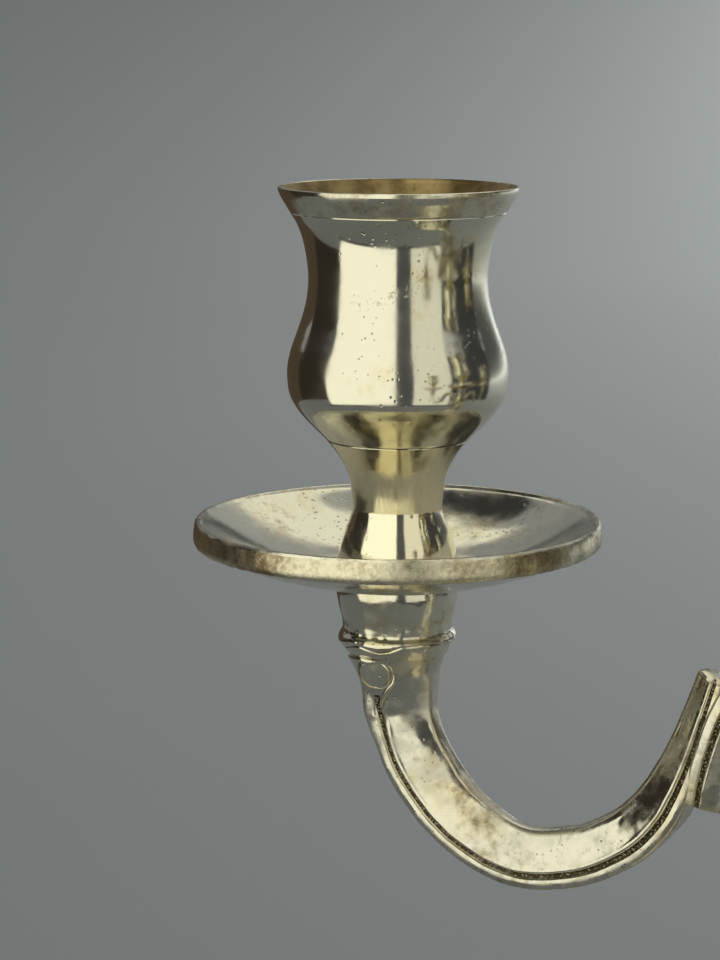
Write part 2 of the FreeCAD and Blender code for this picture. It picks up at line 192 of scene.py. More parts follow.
class Tree:
    """A short way to build a material's node tree. Noise and cell scales are per metre of the part."""

    def __init__(self, name):
        self.material = bpy.data.materials.new(name)
        self.material.use_nodes = True
        self.nodes = self.material.node_tree.nodes
        self.links = self.material.node_tree.links
        self.shader = self.nodes["Principled BSDF"]
        self.place = self.add("ShaderNodeTexCoord").outputs["Object"]

    def add(self, kind, inputs=None, **settings):
        """A node with its settings, and each input set to a value or linked to a socket."""
        made = self.nodes.new(kind)
        for key, value in settings.items():
            setattr(made, key, value)
        for key, value in (inputs or {}).items():
            self.set(made.inputs[key], value)
        return made

    def set(self, socket, value):
        if isinstance(value, bpy.types.NodeSocket):
            self.links.new(value, socket)
        else:
            socket.default_value = value

    def noise(self, scale, detail=4.0, rough=0.55, distortion=0.0):
        inputs = {"Vector": self.place, "Scale": scale, "Detail": detail}
        inputs.update({"Roughness": rough, "Distortion": distortion})
        return self.add("ShaderNodeTexNoise", inputs).outputs["Fac"]

    def cells(self, scale):
        return self.add("ShaderNodeTexVoronoi", {"Vector": self.place, "Scale": scale}).outputs["Distance"]

    def between(self, value, low, high, to_low=0.0, to_high=1.0):
        """value between low and high, spread smoothly over to_low and to_high."""
        inputs = {"Value": value, "From Min": low, "From Max": high, "To Min": to_low, "To Max": to_high}
        return self.add("ShaderNodeMapRange", inputs, interpolation_type="SMOOTHSTEP").outputs["Result"]

    def math(self, operation, a, b):
        made = self.add("ShaderNodeMath", operation=operation)
        self.set(made.inputs[0], a)
        self.set(made.inputs[1], b)
        return made.outputs[0]

    def mix(self, factor, a, b):
        """Colour a, turning to b as factor goes to 1."""
        made = self.add("ShaderNodeMix", data_type="RGBA")
        self.set(made.inputs["Factor"], factor)
        self.set(made.inputs["A"], a)
        self.set(made.inputs["B"], b)
        return made.outputs["Result"]

    def bump(self, height, depth_mm, normal=None):
        """Bump whose full height is depth_mm."""
        made = self.add("ShaderNodeBump", {"Height": height, "Distance": depth_mm * MM, "Strength": 1.0})
        if normal is not None:
            self.links.new(normal, made.inputs["Normal"])
        return made.outputs["Normal"]


def rgb(red, green, blue):
    return (red, green, blue, 1.0)


SILVER = rgb(0.74, 0.71, 0.58)
WORN_BRASS = rgb(0.66, 0.54, 0.30)
BROWN = rgb(0.22, 0.14, 0.055)
SOOT = rgb(0.05, 0.042, 0.026)
CRUST = rgb(0.50, 0.36, 0.15)
SCROLL_SILVER = rgb(0.69, 0.66, 0.55)
RUBBED_SILVER = rgb(0.86, 0.80, 0.60)


def plate(name, tarnish, smudge, pits, wave_mm=0.02, base=SILVER):
    """Old silver plate over brass: yellowed, with brassy wear, brown tarnish, pits and a smudged polish."""
    t = Tree(name)
    patches = t.noise(70, 5, 0.6, 0.4)
    fine = t.noise(620, 6, 0.65)
    brassy = t.between(t.math("ADD", patches, t.math("MULTIPLY", fine, 0.35)), 0.76 - 0.2 * tarnish, 0.9)
    stains = t.math("ADD", t.noise(150, 6, 0.7), t.math("MULTIPLY", fine, 0.5))
    browned = t.between(stains, 1.0 - 0.45 * tarnish, 1.1)
    where = t.between(t.noise(120, 3, 0.5), 0.6 - 0.2 * pits, 0.7)
    specks = t.math("MULTIPLY", t.between(t.cells(900), 0.22, 0.08), where)
    crusted = t.between(t.noise(82, 3, 0.5, 0.6), 0.6, 0.7)
    crust = t.math("MULTIPLY", t.between(t.noise(1700, 4, 0.7), 0.56, 0.68), crusted)
    colour = t.mix(t.math("MULTIPLY", brassy, 0.6), base, WORN_BRASS)
    colour = t.mix(t.math("MULTIPLY", browned, 0.75), colour, BROWN)
    colour = t.mix(t.math("MULTIPLY", specks, 0.8), colour, SOOT)
    colour = t.mix(t.math("MULTIPLY", crust, 0.7), colour, CRUST)
    haze = t.between(t.noise(34, 5, 0.6, 0.8), 0.4, 0.7, 0.0, 0.03)
    rough = t.between(t.noise(210, 7, 0.6), 0.3, 0.8, 0.07, 0.07 + smudge)
    rough = t.math("ADD", t.math("ADD", rough, haze), t.math("MULTIPLY", browned, 0.22))
    rough = t.math("ADD", rough, t.math("MULTIPLY", crust, 0.2))
    normal = t.bump(t.noise(95, 2, 0.5), wave_mm)
    relief = t.math("SUBTRACT", t.math("MULTIPLY", fine, 0.16), specks)
    normal = t.bump(t.math("ADD", relief, t.math("MULTIPLY", crust, 0.5)), 0.035, normal)
    t.set(t.shader.inputs["Base Color"], colour)
    t.set(t.shader.inputs["Roughness"], rough)
    t.set(t.shader.inputs["Normal"], normal)
    t.shader.inputs["Metallic"].default_value = 1.0
    return t.material


def patina(name):
    """Heavily browned plate, for the rim band of a pan."""
    t = Tree(name)
    patches = t.noise(34, 6, 0.6, 0.3)
    grain = t.noise(1300, 5, 0.7)
    mask = t.between(t.math("ADD", patches, t.math("MULTIPLY", grain, 0.3)), 0.5, 0.72)
    colour = t.mix(mask, rgb(0.74, 0.68, 0.50), rgb(0.24, 0.16, 0.075))
    dark = t.between(t.noise(240, 6, 0.7), 0.52, 0.7)
    colour = t.mix(t.math("MULTIPLY", dark, 0.4), colour, SOOT)
    t.set(t.shader.inputs["Base Color"], colour)
    t.set(t.shader.inputs["Roughness"], t.between(grain, 0.2, 0.8, 0.2, 0.4))
    normal = t.bump(t.noise(420, 5, 0.6), 0.07)
    t.set(t.shader.inputs["Normal"], t.bump(grain, 0.03, normal))
    t.shader.inputs["Metallic"].default_value = 1.0
    return t.material


def stipple(name):
    """The punched ground of the grooves, dark with old polish between bright points."""
    t = Tree(name)
    dots = t.between(t.cells(2300), 0.15, 0.55)
    grain = t.noise(1500, 4, 0.6)
    hollows = t.between(t.math("MULTIPLY", dots, grain), 0.12, 0.5)
    colour = t.mix(hollows, rgb(0.42, 0.38, 0.28), rgb(0.07, 0.055, 0.03))
    t.set(t.shader.inputs["Base Color"], colour)
    t.set(t.shader.inputs["Roughness"], t.between(grain, 0.3, 0.7, 0.28, 0.6))
    t.set(t.shader.inputs["Normal"], t.bump(dots, -0.12))
    t.shader.inputs["Metallic"].default_value = 1.0
    return t.material


def lining(name):
    """Bare brass, browned and waxed: the inside of a cup and the underside of the base."""
    t = Tree(name)
    patches = t.noise(140, 6, 0.65)
    grain = t.noise(900, 5, 0.7)
    colour = t.mix(t.between(patches, 0.35, 0.7), rgb(0.42, 0.31, 0.14), rgb(0.14, 0.09, 0.035))
    t.set(t.shader.inputs["Base Color"], colour)
    t.set(t.shader.inputs["Roughness"], t.between(grain, 0.2, 0.8, 0.3, 0.6))
    t.set(t.shader.inputs["Normal"], t.bump(grain, 0.05))
    t.shader.inputs["Metallic"].default_value = 1.0
    return t.material


def cast_metal(name, low, high, roughness, metallic=1.0, depth=0.02):
    """Plain working metal: mottled between two colours, with a grain."""
    t = Tree(name)
    grain = t.noise(700, 6, 0.65)
    t.set(t.shader.inputs["Base Color"], t.mix(t.between(t.noise(160, 5), 0.3, 0.7), low, high))
    t.set(t.shader.inputs["Roughness"], t.between(grain, 0.25, 0.75, roughness - 0.1, roughness + 0.12))
    t.set(t.shader.inputs["Normal"], t.bump(grain, depth))
    t.shader.inputs["Metallic"].default_value = metallic
    return t.material


def baize(name):
    """Green felt with a short nap."""
    t = Tree(name)
    nap = t.noise(2600, 8, 0.75)
    wear = t.noise(60, 4)
    colour = t.mix(t.between(nap, 0.3, 0.7), rgb(0.012, 0.055, 0.026), rgb(0.035, 0.12, 0.06))
    worn = t.between(wear, 0.55, 0.8, 0, 0.5)
    t.set(t.shader.inputs["Base Color"], t.mix(worn, colour, rgb(0.07, 0.09, 0.05)))
    t.set(t.shader.inputs["Normal"], t.bump(nap, 0.25))
    t.shader.inputs["Roughness"].default_value = 0.95
    t.shader.inputs["Sheen Weight"].default_value = 0.6
    return t.material


POLISHED = plate("silver_polished", tarnish=0.22, smudge=0.1, pits=0.75)
LIP = plate("silver_lip", tarnish=0.8, smudge=0.3, pits=1.0)
DISHED = plate("silver_dished", tarnish=0.5, smudge=0.2, pits=1.0)
CAST = plate("silver_cast", tarnish=0.45, smudge=0.24, pits=0.8, wave_mm=0.05)
SCROLL = plate("silver_scroll", tarnish=0.55, smudge=0.42, pits=1.0, wave_mm=0.05, base=SCROLL_SILVER)
RUBBED = plate("silver_rubbed", tarnish=0.3, smudge=0.1, pits=0.5, base=RUBBED_SILVER)
PATINA = patina("browned_edge")
STIPPLE = stipple("punched_ground")
LINING = lining("cup_lining")
STEEL = cast_metal("turned_steel", rgb(0.42, 0.42, 0.41), rgb(0.30, 0.29, 0.28), 0.36)
IRON = cast_metal("cast_iron", rgb(0.055, 0.05, 0.045), rgb(0.11, 0.085, 0.06), 0.7, 0.6, 0.3)
BRASS = cast_metal("dull_brass", rgb(0.52, 0.38, 0.16), rgb(0.33, 0.22, 0.09), 0.38)
BAIZE = baize("green_baize")


# Lights: cup, stem and pan


def axis_of(node):
    """Middle of a node's box, at the height of its top."""
    low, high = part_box(node)
    return Vector(((low.x + high.x) / 2, (low.y + high.y) / 2, high.z))


def candle_cup(light, centre, edge):
    """The urn-shaped cup, bored for a candle. centre is its axis, edge the height of the pan's top edge."""
    runs = [
        (CUP_BASE, POLISHED),
        ((CUP_BASE[-1], CUP_OUTSIDE[0]), POLISHED),
        (CUP_OUTSIDE, POLISHED),
        ((CUP_OUTSIDE[-1], CUP_LINE), POLISHED),
        ((CUP_LINE, CUP_FLARE[0]), POLISHED),
        (CUP_FLARE, LIP),
        (CUP_LIP, LIP),
        (CUP_MOUTH, LINING),
        (CUP_BORE, LINING),
        (CUP_CORNER, LINING),
        (CUP_FLOOR, LINING),
    ]
    piece = turned(f"cup_{light}_silver", runs, centre, edge)
    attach(piece, f"cup_{light}")
    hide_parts(f"candle_cup_{light}")


def cup_stem(light, centre, edge):
    """The waisted stem and calyx under a cup."""
    runs = closed(
        (((STUD_BORE, STEM_TOP), (STUD_BORE, STEM_FOOT)), BRASS),
        (((STUD_BORE, STEM_FOOT), (8.9, STEM_FOOT)), BRASS),
        (((8.9, STEM_FOOT), (9.05, -6.45), STEM_OUTSIDE[0]), POLISHED),
        (STEM_OUTSIDE, RUBBED),
        ((STEM_OUTSIDE[-1], (10.85, 12.38), (10.75, STEM_TOP)), POLISHED),
        (((10.75, STEM_TOP), (STUD_BORE, STEM_TOP)), BRASS),
    )
    piece = turned(f"stem_{light}_silver", runs, centre, edge)
    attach(piece, f"cup_{light}")
    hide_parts(f"cup_stem_{light}")


def drip_pan(light, centre, edge):
    """The round dish with its thick worn rim."""

    def dented(r, a, z):
        """The dish is a little out of true, and its band is worn uneven."""
        place = Vector((r * math.cos(a), r * math.sin(a), 11.0 * light))
        worn = smooth_step(r, 29.0, 30.8)
        r += worn * (0.10 * noise.noise(place * 0.45) + 0.05 * noise.noise(place * 1.7))
        z += 0.05 * noise.noise(place * 0.12) * smooth_step(r, 14, 26)
        z += worn * 0.06 * noise.noise(place * 0.9)
        return r, z

    runs = closed(
        (((STUD_BORE, PAN_BOTTOM), (STUD_BORE, PAN_SEAT)), BRASS),
        (((STUD_BORE, PAN_SEAT), (9.0, PAN_SEAT), (10.8, PAN_SEAT)), DISHED),
        (PAN_INSIDE, DISHED),
        (PAN_EDGE, LIP),
        (PAN_BAND, PATINA),
        (PAN_FOLD, PATINA),
        (PAN_UNDER, DISHED),
    )
    piece = turned(f"pan_{light}_silver", runs, centre, edge, dented, FINE_ROUND)
    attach(piece, f"pan_{light}")
    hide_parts(f"drip_pan_{light}")


for light in LIGHTS:
    pan = axis_of(f"drip_pan_{light}")
    candle_cup(light, pan, pan.z)
    cup_stem(light, pan, pan.z)
    drip_pan(light, pan, pan.z)


# Arms

# A scroll's mouldings, as (distance in from its outer edge, distance out from its half width)
RIM_STEPS = (
    (0.30, -4.0), (0.24, -2.4), (0.10, -1.3), (0.0, -0.85), (0.14, -0.36), (0.5, -0.08), (1.1, 0.0),
    (1.65, -0.08),
)
RIM_CORNER = 5  # how many of these steps stay at the outer edge where the rest move in
GROOVE = ((1.85, -0.5), (2.05, -0.68), (2.35, -0.68), (2.55, -0.5))
RIDGE = ((2.68, -0.04), (2.88, 0.16), (3.12, 0.17), (3.38, -0.02), (3.8, -0.2))
FLANK_POINTS = 7  # points down a flank, from the ridge to the inner edge
KEEL = 0.32  # width of a scroll's inner edge, as a part of its full width
FULL_DEPTH = 3.8  # half depth from which the mouldings have their full size
ARM_TOP_LOW = -20.4  # foot of the turned socket
SOCKET_SIDE = 12.0  # the limb of the bowl scroll under the socket is nearer to the candle axis than this
OVAL_SIDE = 6.0  # and its part that turns oval, nearer than this
OVAL_FROM, OVAL_FULL = -30.0, -22.8  # heights over which it turns oval
DETAIL_FROM, DETAIL_END = -28.0, -24.4  # heights over which the mouldings die out towards the socket
SPREAD_FROM, SPREAD_FULL = -35.0, -26.0  # and over which they move in from the outer edge
GROUND_TOP = -26.4  # top of the punched ground
SOFT_FROM, SOFT_FULL = 14.0, 34.0  # distances in over which the bowl's inner edge gets rounder

# Scrolls, as (distance in from the candle axis, height above the pan's top edge, half depth, half width)
BOWL = (
    (0.0, -20.2, 8.0, 5.6), (0.6, -24.6, 6.1, 5.0), (1.8, -31.0, 4.9, 4.3), (5.0, -38.2, 4.9, 4.0),
    (11.4, -45.4, 4.7, 4.0), (20.6, -49.8, 4.4, 4.0), (30.2, -48.7, 4.3, 4.0), (37.4, -45.1, 4.2, 4.0),
    (41.5, -41.3, 4.1, 4.0), (44.3, -37.2, 3.8, 4.0), (47.0, -31.0, 3.2, 3.8), (49.0, -25.0, 2.7, 3.6),
    (51.0, -18.6, 2.4, 3.4),
)
ARCH = (
    (51.4, -38.6, 4.2, 3.8), (52.8, -32.0, 4.3, 4.0), (55.9, -23.0, 4.2, 4.0), (61.9, -14.4, 4.0, 3.9),
    (71.5, -9.4, 3.7, 3.7), (82.0, -10.0, 3.4, 3.5), (90.4, -16.0, 3.1, 3.3), (93.4, -24.6, 2.8, 3.1),
    (89.6, -32.4, 2.4, 2.9), (82.6, -33.6, 2.1, 2.7), (78.8, -28.6, 1.9, 2.5), (81.4, -23.8, 1.8, 2.4),
)
TAIL = (
    (95.4, -23.0, 2.2, 3.1), (96.2, -34.0, 2.4, 3.1), (95.2, -45.0, 2.5, 3.1), (91.4, -53.6, 2.4, 2.9),
    (85.4, -57.8, 2.2, 2.7), (79.6, -55.4, 2.0, 2.5), (79.4, -49.6, 1.8, 2.4),
)
# Height of the collar's lower edge, by degrees round the arm from its inward side
COLLAR_FOOT = (
    (0, -18.9), (14, -18.3), (40, -18.0), (60, -18.2), (74, -19.0), (85, -19.2), (96, -18.9), (110, -18.6),
    (124, -19.0), (138, -19.5), (180, -19.6),
)
# Half width and half depth of the arm's top, across and along the arm, by height
SOCKET_WIDTHS = (
    (-26.6, 5.3), (-23.2, 5.85), (-22.2, 6.2), (-21.2, 6.75), (-20.2, 7.45), (-19.2, 8.0), (-18.0, 8.4),
)
SOCKET_DEPTHS = ((-27.0, 5.6), (-24.0, 6.45), (-20.2, 8.0), (-18.0, 8.4))
# How far in the middle of the arm's top is, by height
SOCKET_MIDDLES = ((-27.0, 0.95), (-24.0, 0.4), (-20.2, 0.0))
EYE_AT = (-0.9, -22.9)  # middle of the button, as (distance in, height)
EYE_LEAN = 0.24  # how much the button faces down


class ArmPlace:
    """Where an arm stands. It takes (inward from the candle axis, across, height over the pan) to metres."""

    def __init__(self, number):
        self.pan = axis_of(f"drip_pan_{number}")
        stem = axis_of("hub")
        out = Vector((self.pan.x - stem.x, self.pan.y - stem.y, 0))
        self.out = out.normalized()
        self.across = Vector((-self.out.y, self.out.x, 0))

    def at(self, inward, across, height):
        flat = self.pan - self.out * inward * MM + self.across * across * MM
        return (flat.x, flat.y, self.pan.z + height * MM)


def half_section(depth, width, detail, spread, soft):
    """Half a scroll's section, as (distance out from its middle, half width, is it the groove's ground).

    detail is the mouldings' relief, spread moves them in from the outer edge, and soft rounds the inner edge.
    """
    size = min(1.0, depth / FULL_DEPTH)
    keel = width * (KEEL + 0.04 * soft)
    points = [(e * size, max(0.0, width + y * size), False) for e, y in RIM_STEPS[:RIM_CORNER]]
    points += [(e * size * spread, width + y * size, False) for e, y in RIM_STEPS[RIM_CORNER:]]
    points += [(e * size * spread, width + y * size * detail, True) for e, y in GROOVE]
    points += [(e * size * spread, width + y * size * detail, False) for e, y in RIDGE]
    bevel = (0.55 + 0.75 * soft) * size
    start, end = points[-1][:2], (2 * depth - bevel, keel + bevel * (0.75 - 0.2 * soft))
    for k in range(1, FLANK_POINTS + 1):
        share = k / FLANK_POINTS
        swell = (0.22 - 0.17 * soft) * size * math.sin(math.pi * share)
        out = start[0] + (end[0] - start[0]) * share
        points.append((out, start[1] + (end[1] - start[1]) * share + swell, False))
    points += [
        (2 * depth - 0.45 * bevel, keel + 0.3 * bevel, False),
        (2 * depth - 0.12 * bevel, 0.84 * keel, False),
        (2 * depth, 0.45 * keel, False),
        (2 * depth, 0.0, False),
    ]
    points[0] = (points[0][0], 0.0, False)
    return [(depth - e, y, ground) for e, y, ground in points]


def collar_foot(angle):
    """Height of the collar's lower edge at an angle in degrees: it rises over each flank in a leaf."""
    return float(np.interp(abs(angle), *zip(*COLLAR_FOOT)))


def oval(height):
    """Half depth and half width of the arm's top, between the collar and the flanks."""
    return float(np.interp(height, *zip(*SOCKET_DEPTHS))), float(np.interp(height, *zip(*SOCKET_WIDTHS)))


def socket_blend(inward, height, section):
    """The top of the bowl scroll: an oval that widens to the round collar over the last few millimetres."""
    share = smooth_step(height, OVAL_FROM, OVAL_FULL)
    deep, across = oval(height)
    steps = [0.0]
    for (a, b, _), (c, d, _) in zip(section, section[1:]):
        steps.append(steps[-1] + math.hypot(c - a, d - b))
    blended = []
    for (out, y, ground), way in zip(section, steps):
        angle = math.pi * way / steps[-1]
        oval_out, oval_y = inward + deep * math.cos(angle), across * math.sin(angle)
        blended.append((out + (oval_out - out) * share, y + (oval_y - y) * share, ground))
    return blended


def scroll(name, place, points, outer_side, ends, seed, on_socket=False):
    """A moulded scroll swept along its line in the arm's plane, closed and rounded at its ends.

    outer_side is 1 or -1, the side of the line that is the outer edge. ends are the lengths that the two ends
    take to reach the full section. seed moves the casting's unevenness along.
    """
    line = curve(points, 0.42)
    flat = [np.array((s, z)) for s, z, _, _ in line]
    ways = [0.0]
    for a, b in zip(flat, flat[1:]):
        ways.append(ways[-1] + float(np.linalg.norm(b - a)))
    verts, marks = [], []
    for i, (s, z, depth, width) in enumerate(line):
        along = flat[min(i + 1, len(flat) - 1)] - flat[max(i - 1, 0)]
        ds, dz = along / np.linalg.norm(along)
        ns, nz = dz * outer_side, -ds * outer_side
        under_socket = on_socket and s < SOCKET_SIDE
        detail = 1 - smooth_step(z, DETAIL_FROM, DETAIL_END) if under_socket else 1.0
        spread = 1 + 0.38 * smooth_step(z, SPREAD_FROM, SPREAD_FULL) if under_socket else 1.0
        soft = smooth_step(s, SOFT_FROM, SOFT_FULL) if on_socket else 0.5
        half = half_section(depth, width, detail, spread, soft)
        if on_socket and s < OVAL_SIDE:
            middle = float(np.interp(z, *zip(*SOCKET_MIDDLES)))
            half = socket_blend((middle - s) * ns, z, half)
        ring = [*half, *((out, -y, ground) for out, y, ground in reversed(half[1:-1]))]
        shrink = end_shape(ways[i], ends[0]) * end_shape(ways[-1] - ways[i], ends[1])
        for out, y, _ in ring:
            rough = Vector((s + ns * out, y * 1.3 + seed, z + nz * out))
            swell = 1.0
            if shrink > 0.99:
                swell += 0.016 * noise.noise(rough * 0.35) + 0.008 * noise.noise(rough * 1.3)
            o, across = out * shrink * swell, y * shrink * swell
            verts.append(place.at(s + ns * o, across, z + nz * o))
        marks = [ground for _, _, ground in ring]
    columns = len(marks)
    faces = grid(len(line), columns)
    ground = [1 if marks[i % columns] and marks[(i + 1) % columns] else 0 for i in range(len(faces))]
    if on_socket:
        plain = sum(1 for s, z, _, _ in line if z > GROUND_TOP and s < SOCKET_SIDE)
        ground[: plain * columns] = [0] * (plain * columns)
    for first, row in ((True, 0), (False, len(line) - 1)):
        middle = line[row]
        verts.append(place.at(middle[0], 0, middle[1]))
        tip = len(verts) - 1
        for c in range(columns):
            a, b = row * columns + c, row * columns + (c + 1) % columns
            faces.append((tip, a, b) if first else (tip, b, a))
            ground.append(0)
    return mesh_object(name, verts, faces, [SCROLL, STIPPLE], ground, 50)


def end_shape(way, length):
    """How much of its full size a scroll's section has at a distance from its end. A short end is blunt."""
    t = clamp(way / length)
    tip = 0.72 if length < 1 else 0.12
    return tip + (1 - tip) * math.sqrt(t * (2 - t))


def eye(name, place, side):
    """Round flat button on the flank, in a groove, where the mouldings end below the collar."""
    profile = (
        (3.9, 3.2), (5.6, 3.0), (5.95, 2.9), (6.0, 2.8), (5.8, 2.7), (5.6, 2.62), (5.75, 2.54), (6.15, 2.46),
        (6.28, 2.3), (6.32, 1.2), (6.33, 0.0),
    )
    columns = 64
    line = curve(profile, 0.16)
    verts = []
    for out, radius in line:
        for c in range(columns):
            a = 2 * math.pi * c / columns
            swell = 1 + 0.025 * math.sin(2 * a + 0.6) + 0.015 * math.sin(5 * a)
            s, z = EYE_AT[0] + radius * swell * math.cos(a), EYE_AT[1] + radius * 0.95 * swell * math.sin(a)
            lean = EYE_LEAN * (z - EYE_AT[1]) if out > 5 else 0.0
            verts.append(place.at(s, side * (out + lean), z))
    faces = grid(len(line), columns)
    verts.append(place.at(EYE_AT[0], side * line[0][0], EYE_AT[1]))
    faces += [(len(verts) - 1, (c + 1) % columns, c) for c in range(columns)]
    return mesh_object(name, verts, faces, [CAST])


def bead(name, place, path, columns=16):
    """A thin ridge with tapered ends laid on a surface, through (inward, across, height, radius) points."""
    line = curve(path, 0.25)
    spots = [Vector(place.at(s, y, z)) for s, y, z, _ in line]
    verts = []
    for i, spot in enumerate(spots):
        along = (spots[min(i + 1, len(spots) - 1)] - spots[max(i - 1, 0)]).normalized()
        up = (Vector((0, 0, 1)) - along * along.z).normalized()
        side = along.cross(up)
        radius = line[i][3] * MM * math.sqrt(max(0.01, 1 - (2 * i / (len(spots) - 1) - 1) ** 6))
        for c in range(columns):
            a = 2 * math.pi * c / columns
            verts.append(spot + (side * math.cos(a) + up * math.sin(a)) * radius)
    faces = grid(len(spots), columns)
    faces += [tuple(reversed(range(columns))), tuple(len(verts) - columns + c for c in range(columns))]
    return mesh_object(name, verts, faces, [CAST])


def lip_path(side):
    """The bright edge under the collar."""
    path = []
    for degrees in range(6, 150, 6):
        z = collar_foot(degrees) - 0.12
        deep, wide = oval(z)
        a = math.radians(degrees)
        radius = 0.32 + 0.16 * smooth_step(degrees, 118, 132)
        path.append((deep * math.cos(a), side * wide * math.sin(a), z, radius))
    return path


def curl_path(side):
    """The short curl between the edge and the button."""
    return (
        (-3.6, side * 6.4, -20.2, 0.25), (-2.7, side * 6.85, -20.75, 0.42),
        (-1.5, side * 6.9, -20.95, 0.5), (-0.3, side * 6.75, -20.85, 0.3),
    )


def wrap_path(side):
    """The ridge that leaves the flank's moulding and goes round the button's inward side."""
    return (
        (-0.3, side * 5.15, -28.8, 0.26), (0.15, side * 5.55, -27.0, 0.32), (1.2, side * 5.85, -25.3, 0.4),
        (2.2, side * 5.95, -24.0, 0.34), (2.35, side * 6.1, -22.8, 0.26),
    )


def arm_socket(name, place):
    """Flared seat and lumpy collar under a pan, bored for the stud, with the arm's top below it."""

    def lumpy(r, a, z):
        """Uneven casting: the collar's wavy foot, the oval below it, and small dents. The bore stays true."""
        if r <= STUD_BORE:
            return r, z
        inward = math.degrees(a - math.atan2(-place.out.y, -place.out.x))
        inward = (inward + 180) % 360 - 180
        foot = collar_foot(inward)
        if z > COLLAR[-1][1] - 0.01:
            z = max(z, float(np.interp(z, (COLLAR[-1][1], COLLAR[0][1]), (foot, COLLAR[0][1]))))
        else:
            z = float(np.interp(z, (ARM_TOP_LOW, COLLAR[-1][1]), (ARM_TOP_LOW, foot)))
            deep, wide = oval(z)
            c, s = math.cos(math.radians(inward)), math.sin(math.radians(inward))
            r = deep * wide / math.hypot(wide * c, deep * s)
        spot = Vector((r * math.cos(a), r * math.sin(a), z))
        worn = smooth_step(z, -15.0, -17.0)
        return r + (0.04 + 0.1 * worn) * noise.noise(spot * 0.6) + 0.05 * worn * noise.noise(spot * 1.9), z

    runs = closed(
        (SEAT, CAST),
        (SOCKET, CAST),
        (NECK, CAST),
        (COLLAR, CAST),
        (((8.2, -19.9), (8.0, -20.15), (7.9, ARM_TOP_LOW)), CAST),
        (((7.9, ARM_TOP_LOW), (STUD_BORE, ARM_TOP_LOW)), BRASS),
        (((STUD_BORE, ARM_TOP_LOW), (STUD_BORE, SEAT_TOP)), BRASS),
    )
    return turned(name, runs, place.pan, place.pan.z, lumpy)


def arm(number):
    """A whole arm: its socket, three scrolls, and the button, lip, curl and wrap on either side."""
    place = ArmPlace(number)
    pieces = [
        arm_socket(f"arm_{number}_socket", place),
        scroll(f"arm_{number}_bowl", place, BOWL, 1, (0.5, 0.6), 3.1 * number, True),
        scroll(f"arm_{number}_arch", place, ARCH, -1, (0.6, 2.2), 5.3 * number),
        scroll(f"arm_{number}_tail", place, TAIL, 1, (0.6, 2.2), 7.7 * number),
    ]
    for name, side in (("left", -1), ("right", 1)):
        pieces.append(eye(f"arm_{number}_eye_{name}", place, side))
        pieces.append(bead(f"arm_{number}_lip_{name}", place, lip_path(side)))
        pieces.append(bead(f"arm_{number}_curl_{name}", place, curl_path(side)))
        pieces.append(bead(f"arm_{number}_wrap_{name}", place, wrap_path(side)))
    for piece in pieces:
        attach(piece, "stand")
        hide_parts(f"arm_{number}")


for number in ARMS:
    arm(number)


# Stem and base


def stem_piece(name, node, runs, columns=ROUND):
    """A turned piece on the tie rod, which takes the place of a node."""
    piece = turned(name, runs, STEM, 0.0, None, columns)
    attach(piece, "stand")
    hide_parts(node)


STEM = axis_of("tie_rod")
ROD_BORE = 3.05
RING_FOOT, BALUSTER_FOOT, BALUSTER_TOP, RING_TOP = 38.0, 43.0, 97.0, 102.0  # heights above the table
SHELL_TOP = 37.95
SHELL_CROWN = 34.0  # underside of the shell's top

# Turned outlines, as (radius, height above the table)
BALUSTER = (
    (8.4, 43.5), (7.2, 46.2), (6.7, 49.5), (6.8, 53.0), (7.6, 57.0), (9.2, 61.0), (11.0, 65.0),
    (12.9, 69.5), (14.2, 73.5), (14.7, 77.0), (14.3, 80.5), (12.6, 84.2), (10.0, 87.6), (8.0, 90.4),
    (7.0, 92.8), (6.9, 94.6), (7.5, 96.4),
)
RIM = ((62.0, 2.1), (62.0, 4.9), (61.85, 5.3), (61.4, 5.6))
FOOT = (
    (58.3, 6.5), (57.0, 7.3), (54.0, 9.4), (50.0, 10.7), (46.0, 11.4), (42.0, 12.0), (38.0, 12.6),
    (34.6, 13.1),
)
DOME = (
    (31.8, 15.5), (29.0, 17.0), (26.0, 18.6), (22.0, 20.4), (18.0, 22.6), (15.0, 25.2), (12.6, 28.4),
    (11.2, 32.0), (10.5, 35.6), (10.4, 37.9),
)


def bead_ring(name, node, radius, low, high):
    """A ring with a half-round edge, bored for the tie rod."""
    half = (high - low) / 2
    arc = [
        (radius - half + half * math.cos(a), (low + high) / 2 + half * math.sin(a))
        for a in (math.radians(d) for d in range(-84, 85, 12))
    ]
    runs = closed(
        (((ROD_BORE, high), (ROD_BORE, low)), BRASS),
        (((ROD_BORE, low), (radius - half - 0.4, low), arc[0]), CAST),
        (arc, POLISHED),
        ((arc[-1], (radius - half - 0.4, high)), CAST),
    )
    stem_piece(name, node, runs)


